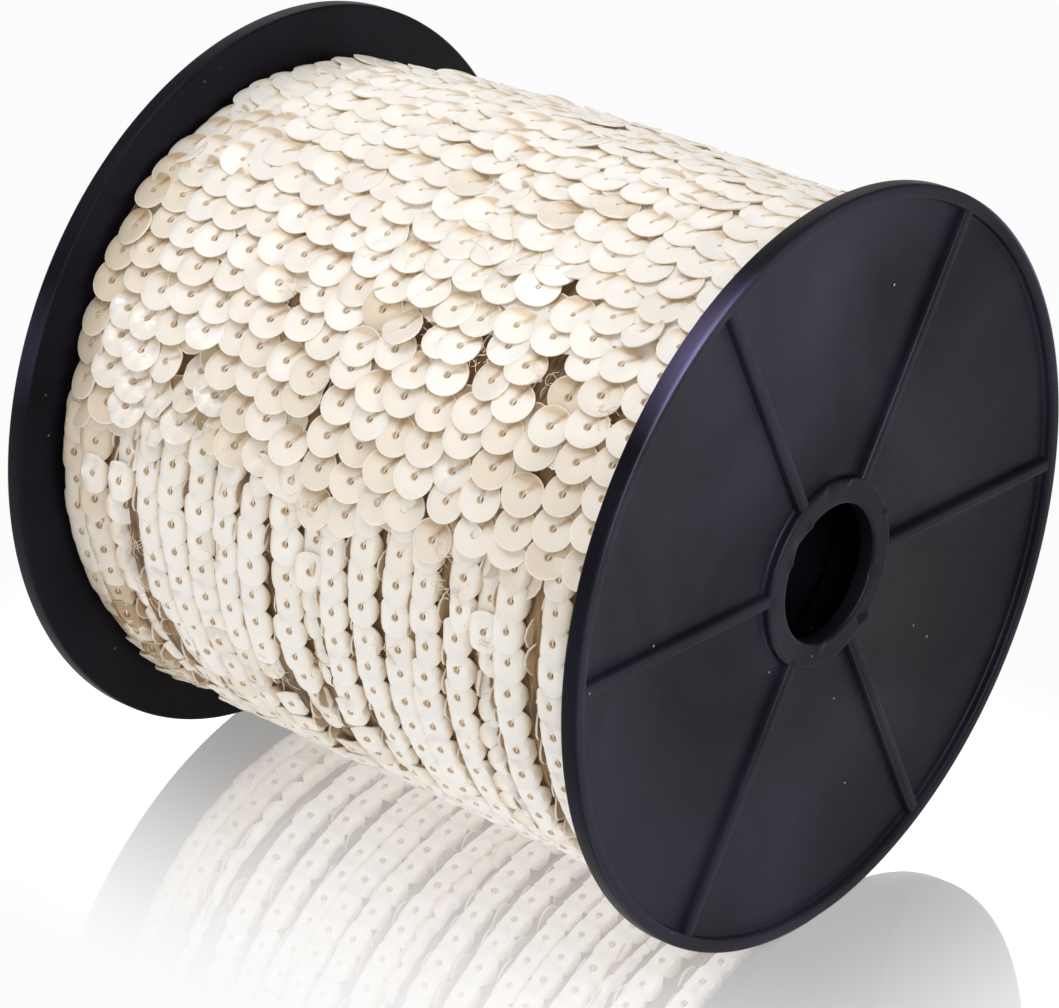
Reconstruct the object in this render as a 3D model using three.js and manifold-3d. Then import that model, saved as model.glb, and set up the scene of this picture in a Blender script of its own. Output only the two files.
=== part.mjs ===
// Sequin trim on a flanged reel: flat round sequins sewn on a thread, wound in side-by-side turns
// between the two moulded flanges of a black plastic reel that lies on its side.
// Millimetres, +Z up. X runs along the reel's axis, towards the near flange. The origin is on the
// surface that the reel stands on, under its middle.

import * as THREE from 'three';
import { mergeVertices } from 'three/addons/utils/BufferGeometryUtils.js';
import Module from 'manifold-3d';

const wasm = await Module();
wasm.setup();

// Driving dimensions
const sequinDiameter = 6;
const flangeRadius = 9.5 * sequinDiameter;
const reelWidth = 107;
const boreRadius = 10.4;
const hubRadius = 14.3;
const rimWidth = 2.1;
const webThickness = 1.4;
const ribHeight = 1.4;
const ribWidth = 2.1;
const ribCount = 6;
const firstRibAngle = -4.6;
const edgeRounding = 0.5;
const barrelRadius = 20;
const barrelWall = 2;
const collarWall = 1.5;
const collarLength = 8;
const clearance = 0.3;
const flatSpotHalfAngle = 6;

// Sizes that follow from them
const flangeThickness = webThickness + ribHeight;
const innerFace = reelWidth / 2 - flangeThickness;
const windingHalf = innerFace - clearance;
const windingBore = barrelRadius + clearance;
const axisHeight = flangeRadius * Math.cos(THREE.MathUtils.degToRad(flatSpotHalfAngle));

// Fineness of the round faces
const flangeSegments = 72;
const barrelSegments = 48;
const windingRows = 60;

// The strings of sequins that lie side by side across the reel, from the far flange to the near one.
// upper and lower are the middle of the string above and below the step in the top layer, in mm along
// the axis. step is the angle where the string's top layer ends. sink is how far it lies in below that.
const strings = [
  { upper: -47.2, lower: -47.2, step: 12, sink: 0.6 },
  { upper: -41.7, lower: -43.3, step: 15, sink: 1.1 },
  { upper: -36.8, lower: -37.8, step: 14, sink: 2.6 },
  { upper: -31.8, lower: -32.2, step: 14, sink: 1.3 },
  { upper: -26.3, lower: -26.6, step: 15, sink: 1.0 },
  { upper: -21.2, lower: -20.9, step: 16, sink: 1.4 },
  { upper: -16.2, lower: -16.4, step: 16, sink: 1.2 },
  { upper: -10.6, lower: -11.2, step: 16, sink: 0.9 },
  { upper: -5.5, lower: -4.5, step: 15, sink: 0.8 },
  { upper: -0.3, lower: 0.2, step: 12, sink: 2.8 },
  { upper: 5.7, lower: 4.1, step: 12, sink: 1.2 },
  { upper: 10.9, lower: 10.4, step: 16, sink: 0.8 },
  { upper: 16.7, lower: 16.6, step: 16, sink: 1.1 },
  { upper: 22.1, lower: 21.2, step: 14, sink: 1.2 },
  { upper: 28.3, lower: 27.2, step: 17, sink: 0.8 },
  { upper: 34.5, lower: 31.8, step: 15, sink: 2.7 },
  { upper: 40.7, lower: 36.3, step: 17, sink: 0.9 },
  { upper: 47.2, lower: 44.2, step: 18, sink: 1.0 },
];

// The wound body's outer radius round the reel, as a share of the flange radius, at the far flange,
// in the middle and at the near flange. Angles go from the front of the reel (0) over its top (90).
const bodySections = [
  { angle: -180, far: 0.885, middle: 0.915, near: 0.910 },
  { angle: -120, far: 0.885, middle: 0.905, near: 0.905 },
  { angle: -65, far: 0.890, middle: 0.898, near: 0.905 },
  { angle: -20, far: 0.855, middle: 0.900, near: 0.905 },
  { angle: 20, far: 0.880, middle: 0.915, near: 0.912 },
  { angle: 50, far: 0.915, middle: 0.922, near: 0.912 },
  { angle: 80, far: 0.885, middle: 0.925, near: 0.918 },
  { angle: 120, far: 0.880, middle: 0.920, near: 0.915 },
  { angle: 180, far: 0.885, middle: 0.915, near: 0.910 },
];

// Where the top layer lies on the reel, and how the strings round over into the valleys
const topLayerStart = 15;
const topLayerEnd = 225;
const stepHalfWidth = 1.5;
const layerBlend = 20;
const upperValley = 0.8;
const lowerValley = 1.5;
const crownHalfShare = 0.24;

const reelPlastic = new THREE.MeshStandardMaterial({ color: 0x1f1f26, roughness: 0.45, metalness: 0 });
const sequinFilm = new THREE.MeshStandardMaterial({ color: 0xefe6d8, roughness: 0.35, metalness: 0 });

function toSolid(geometry) {
  const bare = geometry.clone();
  bare.deleteAttribute('normal');
  bare.deleteAttribute('uv');
  const merged = mergeVertices(bare, 1e-4);
  return new wasm.Manifold(new wasm.Mesh({
    numProp: 3,
    vertProperties: new Float32Array(merged.attributes.position.array),
    triVerts: new Uint32Array(merged.index.array),
  }));
}

function toGeometry(solid) {
  const mesh = solid.getMesh();
  const geometry = new THREE.BufferGeometry();
  geometry.setAttribute('position', new THREE.BufferAttribute(mesh.vertProperties, 3));
  geometry.setIndex(new THREE.BufferAttribute(mesh.triVerts, 1));
  geometry.computeVertexNormals();
  return geometry;
}

// A ring turned about the X axis, from its closed outline of [radius, distance along the axis]
function turned(outline, segments) {
  const points = [...outline, outline[0]].map(([radius, along]) => new THREE.Vector2(radius, along));
  return new THREE.LatheGeometry(points, segments).rotateZ(-Math.PI / 2);
}

// The disc with its raised rim and hub ring on the outside and the collar that fits the barrel inside
function flangeOutline() {
  const collarOuter = barrelRadius - barrelWall - clearance;
  const collarInner = collarOuter - collarWall;
  return [
    [boreRadius, 0],
    [collarInner, 0],
    [collarInner, -collarLength],
    [collarOuter, -collarLength],
    [collarOuter, 0],
    [flangeRadius - edgeRounding, 0],
    [flangeRadius, edgeRounding],
    [flangeRadius, flangeThickness - edgeRounding],
    [flangeRadius - edgeRounding, flangeThickness],
    [flangeRadius - rimWidth, flangeThickness],
    [flangeRadius - rimWidth, webThickness],
    [hubRadius, webThickness],
    [hubRadius, flangeThickness],
    [boreRadius, flangeThickness],
  ];
}

// One straight rib between the hub ring and the rim, its foot a little inside the web
function rib(index) {
  const overlap = ribWidth / 2;
  const start = hubRadius - overlap;
  const end = flangeRadius - rimWidth + overlap;
  const foot = webThickness / 2;
  const angle = firstRibAngle + index * 360 / ribCount;
  const bar = new THREE.BoxGeometry(flangeThickness - foot, end - start, ribWidth);
  bar.translate((flangeThickness + foot) / 2, (end + start) / 2, 0);
  return bar.rotateX(THREE.MathUtils.degToRad(angle));
}

// What is cut off where the flange stands on the surface
function flatSpotCut() {
  const side = 4 * flangeRadius;
  return new THREE.BoxGeometry(side, side, side).translate(0, 0, -axisHeight - side / 2);
}

function flangeGeometry() {
  let solid = toSolid(turned(flangeOutline(), flangeSegments));
  for (let index = 0; index < ribCount; index += 1) {
    solid = solid.add(toSolid(rib(index)));
  }
  return toGeometry(solid.subtract(toSolid(flatSpotCut())));
}

function barrelGeometry() {
  const inner = barrelRadius - barrelWall;
  return turned([
    [inner, -windingHalf],
    [barrelRadius, -windingHalf],
    [barrelRadius, windingHalf],
    [inner, windingHalf],
  ], barrelSegments);
}

// A value between the rows of bodySections, eased so that the body has no creases there
function bodyShare(angle, along) {
  const next = bodySections.findIndex((section) => section.angle > angle);
  const after = bodySections[next];
  const before = bodySections[next - 1];
  const share = THREE.MathUtils.smootherstep(angle, before.angle, after.angle);
  const across = Math.abs(along) / windingHalf;
  const end = along < 0 ? 'far' : 'near';
  const edge = THREE.MathUtils.lerp(before[end], after[end], share);
  const middle = THREE.MathUtils.lerp(before.middle, after.middle, share);
  return THREE.MathUtils.lerp(middle, edge, across ** 2);
}

// 1 under the top layer, which starts with a step at the front and fades out behind, 0 elsewhere
function topLayer(angle, step) {
  const turn = THREE.MathUtils.euclideanModulo(angle, 360);
  const start = THREE.MathUtils.smoothstep(turn, step - stepHalfWidth, step + stepHalfWidth);
  const end = 1 - THREE.MathUtils.smoothstep(turn, topLayerEnd, topLayerEnd + layerBlend);
  return turn > 180 ? end : start;
}

// The rows round the reel: two at the step of the top layer, the rest evenly spaced
function rowAngles() {
  const angles = [topLayerStart - stepHalfWidth, topLayerStart + stepHalfWidth];
  const rest = 360 - 2 * stepHalfWidth;
  const count = windingRows - angles.length;
  for (let row = 1; row <= count; row += 1) {
    angles.push(topLayerStart + stepHalfWidth + rest * row / (count + 1));
  }
  return angles;
}

// A row bends with the ragged line on which the strings' top layers end
function bentAngle(rowAngle, step) {
  const distance = Math.abs(rowAngle - topLayerStart);
  const pull = Math.max(0, 1 - distance / layerBlend);
  return rowAngle + (step - topLayerStart) * pull;
}

function signedAngle(angle) {
  return THREE.MathUtils.euclideanModulo(angle + 180, 360) - 180;
}

function pointOn(along, radius, angle) {
  const turn = THREE.MathUtils.degToRad(angle);
  return [along, -radius * Math.cos(turn), radius * Math.sin(turn)];
}

function stringMiddle(string, rowAngle) {
  const layer = topLayer(rowAngle, topLayerStart);
  return THREE.MathUtils.lerp(string.lower, string.upper, layer);
}

// The points of one row across the reel: a valley beside each string and the two edges of its crown
function outerRow(rowAngle) {
  const row = [];
  const add = (along, angle, lowered) => {
    const radius = flangeRadius * bodyShare(signedAngle(angle), along) - lowered;
    row.push(pointOn(along, radius, angle));
  };
  const middles = strings.map((string) => stringMiddle(string, rowAngle));
  const layer = topLayer(rowAngle, topLayerStart);
  const valley = THREE.MathUtils.lerp(lowerValley, upperValley, layer);
  strings.forEach((string, index) => {
    const angle = bentAngle(rowAngle, string.step);
    const before = index === 0 ? -windingHalf : (middles[index - 1] + middles[index]) / 2;
    const last = index === strings.length - 1;
    const after = last ? windingHalf : (middles[index] + middles[index + 1]) / 2;
    const neighbour = strings[Math.max(index - 1, 0)];
    const sink = string.sink * (1 - layer);
    const valleySink = Math.max(sink, neighbour.sink * (1 - layer));
    add(before, bentAngle(rowAngle, (string.step + neighbour.step) / 2), valleySink + valley);
    const width = after - before;
    const centre = (after + before) / 2;
    add(centre - crownHalfShare * width, angle, sink);
    add(centre + crownHalfShare * width, angle, sink);
    if (last) {
      add(windingHalf, angle, sink + valley);
    }
  });
  return row;
}

// The wound strings as one body: rows of points round the reel, closed over both ends and the bore
function windingGeometry() {
  const rows = rowAngles().map((rowAngle) => {
    const outer = outerRow(rowAngle);
    const inner = [pointOn(windingHalf, windingBore, rowAngle), pointOn(-windingHalf, windingBore, rowAngle)];
    return [...outer, ...inner];
  });
  const size = rows[0].length;
  const index = [];
  rows.forEach((row, i) => {
    const next = (i + 1) % rows.length;
    for (let j = 0; j < size; j += 1) {
      const k = (j + 1) % size;
      const [a, b, c, d] = [i * size + j, i * size + k, next * size + k, next * size + j];
      index.push(a, b, c, a, c, d);
    }
  });
  const geometry = new THREE.BufferGeometry();
  geometry.setAttribute('position', new THREE.Float32BufferAttribute(rows.flat(2), 3));
  geometry.setIndex(index);
  geometry.computeVertexNormals();
  return geometry;
}

function piece(name, geometry, material) {
  const mesh = new THREE.Mesh(geometry, material);
  mesh.name = name;
  return mesh;
}

const flange = flangeGeometry();
const flangeNear = piece('flange_near', flange, reelPlastic.clone());
flangeNear.position.x = innerFace;
const flangeFar = piece('flange_far', flange, reelPlastic.clone());
flangeFar.position.x = -innerFace;
flangeFar.rotation.z = Math.PI;

const reel = new THREE.Group();
reel.position.z = axisHeight;
reel.add(flangeNear);
reel.add(flangeFar);
reel.add(piece('barrel', barrelGeometry(), reelPlastic.clone()));
reel.add(piece('trim_winding', windingGeometry(), sequinFilm));

export default reel;
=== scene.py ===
import math

import bpy
import numpy as np
from mathutils import Matrix, Vector


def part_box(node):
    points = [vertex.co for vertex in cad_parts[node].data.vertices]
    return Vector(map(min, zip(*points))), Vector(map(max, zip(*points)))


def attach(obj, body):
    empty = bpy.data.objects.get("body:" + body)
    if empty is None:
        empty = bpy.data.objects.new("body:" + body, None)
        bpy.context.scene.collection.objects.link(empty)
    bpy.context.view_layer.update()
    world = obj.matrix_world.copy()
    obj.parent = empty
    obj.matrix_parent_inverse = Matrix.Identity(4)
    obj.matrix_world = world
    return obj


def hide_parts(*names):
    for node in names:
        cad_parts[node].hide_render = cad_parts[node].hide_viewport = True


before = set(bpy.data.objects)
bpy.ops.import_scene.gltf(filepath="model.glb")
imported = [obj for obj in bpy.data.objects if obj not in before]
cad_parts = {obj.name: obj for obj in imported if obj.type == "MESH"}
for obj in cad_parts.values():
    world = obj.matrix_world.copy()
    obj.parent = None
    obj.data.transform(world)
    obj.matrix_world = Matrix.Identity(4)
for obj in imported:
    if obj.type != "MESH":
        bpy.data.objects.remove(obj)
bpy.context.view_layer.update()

# Camera
# A long lens looks down on the reel from the front right, so that the ribbed near flange, the whole
# width of the wound trim and the inside of the far flange show.
MM = 0.001
near_low, near_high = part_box("flange_near")
FLANGE_RADIUS = (near_high[1] - near_low[1]) / 2 / MM
AXIS_HEIGHT = near_high[2] / MM - FLANGE_RADIUS
CAMERA_AZIMUTH = 39.7
CAMERA_ELEVATION = 27.6
CAMERA_DISTANCE = 737.8
AIM_RIGHT = -1.43
AIM_UP = -5.91
LENS = 170.08
SENSOR_WIDTH = 36

azimuth = math.radians(CAMERA_AZIMUTH)
elevation = math.radians(CAMERA_ELEVATION)
towards_camera = Vector((
    math.sin(azimuth) * math.cos(elevation),
    -math.cos(azimuth) * math.cos(elevation),
    math.sin(elevation),
))
camera_right = Vector((math.cos(azimuth), math.sin(azimuth), 0))
camera_up = towards_camera.cross(camera_right)
reel_middle = Vector((0, 0, AXIS_HEIGHT))
aim = reel_middle + camera_right * AIM_RIGHT + camera_up * AIM_UP

camera = bpy.data.objects.new("camera", bpy.data.cameras.new("camera"))
camera.data.lens = LENS
camera.data.sensor_width = SENSOR_WIDTH
camera.data.clip_start = 0.05
turn = Matrix((camera_right, camera_up, towards_camera)).transposed()
camera.matrix_world = Matrix.Translation((aim + towards_camera * CAMERA_DISTANCE) * MM) @ turn.to_4x4()
bpy.context.collection.objects.link(camera)
bpy.context.scene.camera = camera

# Light and floor
# A pale room gives an even fill. A large soft lamp above and one in front light the trim, and two small
# ones pick out the flanges. The glossy floor mirrors the reel and a white card that stands behind it, and
# its mirroring fades out to plain white a few centimetres away from the reel.
bpy.context.scene.view_settings.view_transform = "Standard"
ROOM_COLOUR = (1, 0.95, 0.9, 1)
ROOM_STRENGTH = 0.42
# where each lamp stands and how wide it is, in metres, then its watts and tint
LAMPS = {
    "top_lamp": ((0.0, -0.1, 1.05), 0.7, 4.6, (1, 0.995, 0.975)),
    "front_lamp": ((0.2, -1.2, 0.45), 0.6, 2.35, (1, 0.985, 0.965)),
    "side_lamp": ((0.15, -0.03, 0.1), 0.08, 0.34, (0.97, 0.95, 1)),
    "left_lamp": ((-0.51, -0.37, 0.85), 0.2, 0.6, (0.8, 0.75, 1)),
    "back_card": ((-1.42, 1.71, 1.17), 1.6, 6.2, (1, 1, 1)),
}
FLOOR_SIDE = 8.0
# how far from the reel's middle, in metres, the floor mirrors fully and where that has faded out
MIRROR_ALONG = (0.056, 0.115)
MIRROR_ACROSS = (0.01, 0.08)

room = bpy.data.worlds.new("white_room")
room.use_nodes = True
room_background = room.node_tree.nodes["Background"]
room_background.inputs["Color"].default_value = ROOM_COLOUR
room_background.inputs["Strength"].default_value = ROOM_STRENGTH
bpy.context.scene.world = room


def soft_lamp(name, place, size, watts, tint):
    lamp = bpy.data.objects.new(name, bpy.data.lights.new(name, "AREA"))
    lamp.data.shape = "DISK"
    lamp.data.size = size
    lamp.data.energy = watts
    lamp.data.color = tint
    away = (Vector(place) - reel_middle * MM).normalized()
    lamp.matrix_world = Matrix.Translation(place) @ away.to_track_quat("Z", "Y").to_matrix().to_4x4()
    bpy.context.collection.objects.link(lamp)


for lamp_name, lamp_values in LAMPS.items():
    soft_lamp(lamp_name, *lamp_values)


def feed(tree, socket, value):
    """Links another node's output to a socket, or sets the socket to a number or a colour."""
    if isinstance(value, bpy.types.NodeSocket):
        tree.links.new(value, socket)
    else:
        socket.default_value = value


def computed(tree, operation, first, second=0.0):
    node = tree.nodes.new("ShaderNodeMath")
    node.operation = operation
    feed(tree, node.inputs[0], first)
    feed(tree, node.inputs[1], second)
    return node.outputs["Value"]


def rescaled(tree, value, source, target=(0, 1), smooth=False):
    """A value that runs between the two numbers of source, spread between the two of target."""
    node = tree.nodes.new("ShaderNodeMapRange")
    node.interpolation_type = "SMOOTHSTEP" if smooth else "LINEAR"
    node.inputs["From Min"].default_value, node.inputs["From Max"].default_value = source
    node.inputs["To Min"].default_value, node.inputs["To Max"].default_value = target
    tree.links.new(value, node.inputs["Value"])
    return node.outputs["Result"]


def floor_finish():
    """Glossy pale floor near the reel, plain white further away."""
    finish = bpy.data.materials.new("pale_floor")
    finish.use_nodes = True
    tree = finish.node_tree
    shader = tree.nodes["Principled BSDF"]
    shader.inputs["Base Color"].default_value = (0.3, 0.3, 0.305, 1)
    shader.inputs["Roughness"].default_value = 0.03
    shader.inputs["IOR"].default_value = 3.8
    shader.inputs["Specular IOR Level"].default_value = 1.0
    shader.inputs["Emission Color"].default_value = (1, 0.98, 0.97, 1)
    shader.inputs["Emission Strength"].default_value = 0.32
    place = tree.nodes.new("ShaderNodeSeparateXYZ")
    tree.links.new(tree.nodes.new("ShaderNodeTexCoord").outputs["Object"], place.inputs["Vector"])
    fades = []
    for axis, (clear, gone) in (("Y", MIRROR_ACROSS), ("X", MIRROR_ALONG)):
        distance = computed(tree, "ABSOLUTE", place.outputs[axis])
        fades.append(rescaled(tree, distance, (gone, clear), smooth=True))
    plain_white = tree.nodes.new("ShaderNodeEmission")
    plain_white.inputs["Color"].default_value = (0.97, 0.97, 0.97, 1)
    blend = tree.nodes.new("ShaderNodeMixShader")
    tree.links.new(computed(tree, "MULTIPLY", *fades), blend.inputs["Fac"])
    tree.links.new(plain_white.outputs["Emission"], blend.inputs[1])
    tree.links.new(shader.outputs["BSDF"], blend.inputs[2])
    tree.links.new(blend.outputs["Shader"], tree.nodes["Material Output"].inputs["Surface"])
    return finish


half_floor = FLOOR_SIDE / 2
floor_mesh = bpy.data.meshes.new("floor")
floor_mesh.from_pydata(
    [(-half_floor, -half_floor, 0), (half_floor, -half_floor, 0),
     (half_floor, half_floor, 0), (-half_floor, half_floor, 0)],
    [], [(0, 1, 2, 3)])
floor_mesh.materials.append(floor_finish())
floor = bpy.data.objects.new("floor", floor_mesh)
bpy.context.collection.objects.link(floor)

# Flanges
# Each end of the reel is one black plastic moulding: a thin disc with a raised rim, six straight ribs
# and a raised ring round the bore on the outside, and a short collar inside that fits the barrel.
FLANGE_THICKNESS = 2.8
WEB_THICKNESS = 1.4
BORE_RADIUS = 10.4
HUB_RADIUS = 14.3
RIM_WIDTH = 2.1
RIB_WIDTH = 2.1
RIB_DROP = 0.12
RIB_COUNT = 6
FIRST_RIB_ANGLE = -4.6
COLLAR_OUTER = 17.7
COLLAR_INNER = 16.2
COLLAR_LENGTH = 8.0
INNER_FACE = near_high[0] / MM - FLANGE_THICKNESS
FLANGE_SEGMENTS = 240
EDGE_ROUNDING = 0.5
# the flat top of the hub ring begins this far from its edges, so that burrs can rise at both
HUB_EDGE = 1.2
# how much wider a rib is at its foot and narrower at its top, on each side
RIB_FOOT = 0.25
RIB_TOP = 0.1
# burrs and knife marks move only the points of the outer face that lie higher than this
FLAWED_ABOVE = WEB_THICKNESS * 1.3
# burrs and knife marks on the hub ring: angle, radius, size and height
HUB_FLAWS = np.array([
    (76, 14.2, 0.7, 0.5), (92, 14.1, 1.2, -0.3), (-54, 12.6, 0.5, -0.5), (-50, 14.0, 0.8, 0.4),
    (118, 10.8, 0.6, 0.3), (135, 10.7, 1.0, -0.25), (150, 10.8, 0.5, 0.25), (175, 14.0, 0.9, -0.3),
    (-100, 10.7, 0.8, 0.25), (20, 14.1, 0.6, 0.25), (-20, 10.8, 0.9, -0.2), (-130, 14.0, 0.7, -0.25),
])
# where painted highlights lie on the outer edges: along, across and above the reel's axis, size in mm, how
# pale
HIGHLIGHT_PLACES = np.array([
    (53, -32, 47, 17, 1.0), (53, 49, 29, 26, 1.0), (-53, -52, 22, 12, 0.3), (53, 20, -53, 12, 0.4),
])
# the band at a flange's outer edge that can carry a painted highlight: how far in from the edge it starts and
# is full
HIGHLIGHT_BAND = (0.7, 0.3)


def add_piece(name, points, faces, finish, node, sharp=35):
    """One object from points in millimetres, with the reel's axis at height 0, and quad faces."""
    mesh = bpy.data.meshes.new(name)
    placed = (points + np.array((0, 0, AXIS_HEIGHT))) * MM
    mesh.vertices.add(len(placed))
    mesh.vertices.foreach_set("co", placed.astype(np.float32).ravel())
    mesh.loops.add(faces.size)
    mesh.loops.foreach_set("vertex_index", faces.astype(np.int32).ravel())
    mesh.polygons.add(len(faces))
    mesh.polygons.foreach_set("loop_start", np.arange(0, faces.size, faces.shape[1], dtype=np.int32))
    mesh.update(calc_edges=True)
    mesh.validate()
    mesh.shade_smooth()
    mesh.set_sharp_from_angle(angle=math.radians(sharp))
    mesh.materials.append(finish)
    piece = bpy.data.objects.new(name, mesh)
    bpy.context.collection.objects.link(piece)
    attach(piece, "root")
    if node:
        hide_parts(node)
    return piece


def ring_faces(rings, around, closed=True):
    """Quads between rings of points that follow each other, the last joined to the first if closed."""
    ring = np.arange(rings if closed else rings - 1)
    step = np.arange(around)
    first, second = np.meshgrid(ring, step, indexing="ij")
    after = (first + 1) % rings
    beside = (second + 1) % around
    corners = (first * around + second, first * around + beside,
               after * around + beside, after * around + second)
    return np.stack([corner.ravel() for corner in corners], axis=1)


def rounded(outline, edge, steps=3):
    """A closed outline with each corner cut back by edge and rounded."""
    corners = np.array(outline, float)
    result = []
    for before, corner, after in zip(np.roll(corners, 1, 0), corners, np.roll(corners, -1, 0)):
        reach = [min(edge, 0.45 * np.linalg.norm(end - corner)) for end in (before, after)]
        start = corner + (before - corner) / np.linalg.norm(before - corner) * reach[0]
        end = corner + (after - corner) / np.linalg.norm(after - corner) * reach[1]
        for share in np.linspace(0, 1, steps + 1):
            result.append((1 - share) ** 2 * start + 2 * share * (1 - share) * corner + share ** 2 * end)
    return np.array(result)


def turned(outline, segments):
    """Points and faces of an outline of (radius, along) turned about the reel's axis."""
    angle = np.linspace(0, 2 * math.pi, segments, endpoint=False)
    radius, along = outline[:, 0, None], outline[:, 1, None]
    points = np.stack(np.broadcast_arrays(along, radius * np.cos(angle), radius * np.sin(angle)), axis=2)
    return points.reshape(-1, 3), ring_faces(len(outline), segments)


def new_finish(name):
    """A new material, its node tree, its shader and the coordinates on the piece."""
    finish = bpy.data.materials.new(name)
    finish.use_nodes = True
    tree = finish.node_tree
    place = tree.nodes.new("ShaderNodeTexCoord").outputs["Object"]
    return finish, tree, tree.nodes["Principled BSDF"], place


def noise(tree, place, scale, detail=2.0, distortion=0.0):
    node = tree.nodes.new("ShaderNodeTexNoise")
    node.inputs["Scale"].default_value = scale
    node.inputs["Detail"].default_value = detail
    node.inputs["Distortion"].default_value = distortion
    tree.links.new(place, node.inputs["Vector"])
    return node.outputs["Fac"]


def vector_math(tree, operation, place, *constants):
    """The outputs of an operation on place and up to two fixed vectors."""
    node = tree.nodes.new("ShaderNodeVectorMath")
    node.operation = operation
    tree.links.new(place, node.inputs[0])
    for index, constant in enumerate(constants):
        node.inputs[index + 1].default_value = constant
    return node.outputs


def ramp(tree, value, *stops):
    """Colours along a value. Each stop is a position from 0 to 1 and a colour."""
    node = tree.nodes.new("ShaderNodeValToRGB")
    marks = node.color_ramp.elements
    for mark, (position, colour) in ((marks[0], stops[0]), (marks[1], stops[-1])):
        mark.position = position
        mark.color = (*colour, 1)
    for position, colour in stops[1:-1]:
        marks.new(position).color = (*colour, 1)
    tree.links.new(value, node.inputs["Fac"])
    return node.outputs["Color"]


def mixed(tree, under, over, amount=1.0, blend="MIX"):
    """The colour under, with the colour over laid on it by amount, 0 to 1."""
    node = tree.nodes.new("ShaderNodeMix")
    node.data_type = "RGBA"
    node.blend_type = blend
    feed(tree, node.inputs["Factor"], amount)
    feed(tree, node.inputs["A"], under)
    feed(tree, node.inputs["B"], over)
    return node.outputs["Result"]


def roughen(tree, shader, height, strength, distance):
    """Fine relief on a surface: up to distance, in metres, where height is 1."""
    node = tree.nodes.new("ShaderNodeBump")
    node.inputs["Strength"].default_value = strength
    node.inputs["Distance"].default_value = distance
    tree.links.new(height, node.inputs["Height"])
    tree.links.new(node.outputs["Normal"], shader.inputs["Normal"])


def painted_highlight_patches(tree, place):
    """How strong the painted highlight is, 0 to 1, in the listed patches on the flanges' edges."""
    total = 0.0
    for along, across, height, size, amount in HIGHLIGHT_PLACES:
        middle = (along * MM, across * MM, (AXIS_HEIGHT + height) * MM)
        distance = vector_math(tree, "DISTANCE", place, middle)["Value"]
        patch = rescaled(tree, distance, (size * MM, 0), (0, amount), smooth=True)
        total = computed(tree, "ADD", total, patch)
    return total


def on_outer_edge(tree, place):
    """1 on the outer edge of a flange, 0 further in."""
    across = vector_math(tree, "MULTIPLY_ADD", place, (0, 1, 1), (0, 0, -AXIS_HEIGHT * MM))["Vector"]
    radius = vector_math(tree, "LENGTH", across)["Value"]
    return rescaled(tree, radius, [(FLANGE_RADIUS - inset) * MM for inset in HIGHLIGHT_BAND])


def plastic_finish():
    """Black plastic with a violet cast: cloudy flow marks, fine grain, pale specks and a painted highlight on
    the outer edges.
    """
    finish, tree, shader, place = new_finish("black_plastic")
    clouds = ramp(tree, noise(tree, place, 26, 4, 0.6),
                  (0.36, (0.0025, 0.0025, 0.0035)), (0.72, (0.0095, 0.009, 0.014)))
    cells = tree.nodes.new("ShaderNodeTexVoronoi")
    cells.inputs["Scale"].default_value = 260
    tree.links.new(place, cells.inputs["Vector"])
    near_middle = ramp(tree, cells.outputs["Distance"], (0.03, (1, 1, 1)), (0.07, (0, 0, 0)))
    chosen = ramp(tree, cells.outputs["Color"], (0.75, (0, 0, 0)), (0.77, (0.4, 0.4, 0.4)))
    specked = mixed(tree, clouds, (0.35, 0.29, 0.26, 1), computed(tree, "MULTIPLY", near_middle, chosen))
    # painted highlight: a few patches of the outer edges are made paler violet for the glint of light on them
    highlight_amount = computed(tree, "MULTIPLY", painted_highlight_patches(tree, place), on_outer_edge(tree, place))
    highlighted = mixed(tree, specked, (0.07, 0.06, 0.12, 1), highlight_amount)
    tree.links.new(highlighted, shader.inputs["Base Color"])
    shader.inputs["IOR"].default_value = 1.2
    shader.inputs["Specular IOR Level"].default_value = 0.4
    shader.inputs["Specular Tint"].default_value = (0.78, 0.74, 1, 1)
    shine = rescaled(tree, noise(tree, place, 90, 4), (0, 1), (0.3, 0.5))
    tree.links.new(shine, shader.inputs["Roughness"])
    roughen(tree, shader, noise(tree, place, 420, 3), 0.14, 0.0003)
    return finish


def rib_bar(angle):
    """A rib: a bar with rounded top edges and slightly leaning sides, from the hub ring to the rim."""
    foot = RIB_WIDTH / 2 + RIB_FOOT
    top = RIB_WIDTH / 2 - RIB_TOP
    low = WEB_THICKNESS / 2
    high = FLANGE_THICKNESS - RIB_DROP
    section = rounded([(-foot, low), (foot, low), (top, high), (-top, high)], EDGE_ROUNDING)
    bars = []
    for radius in (HUB_RADIUS - 1, FLANGE_RADIUS - RIM_WIDTH + 1):
        bars.append(np.stack([section[:, 1], np.full(len(section), radius), section[:, 0]], axis=1))
    turn = np.array(Matrix.Rotation(math.radians(angle), 3, "X"))
    return np.concatenate(bars) @ turn.T, ring_faces(2, len(section), closed=False)


def add_flaws(points, flaws):
    """Raises or sinks the flange's outer face at each burr and knife mark."""
    on_top = points[:, 0] > FLAWED_ABOVE
    for angle, radius, size, height in flaws:
        middle = radius * np.cos(np.radians(angle)), radius * np.sin(np.radians(angle))
        distance = np.hypot(points[:, 1] - middle[0], points[:, 2] - middle[1])
        points[:, 0] += on_top * height * np.exp(-(distance / size) ** 2)


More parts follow.
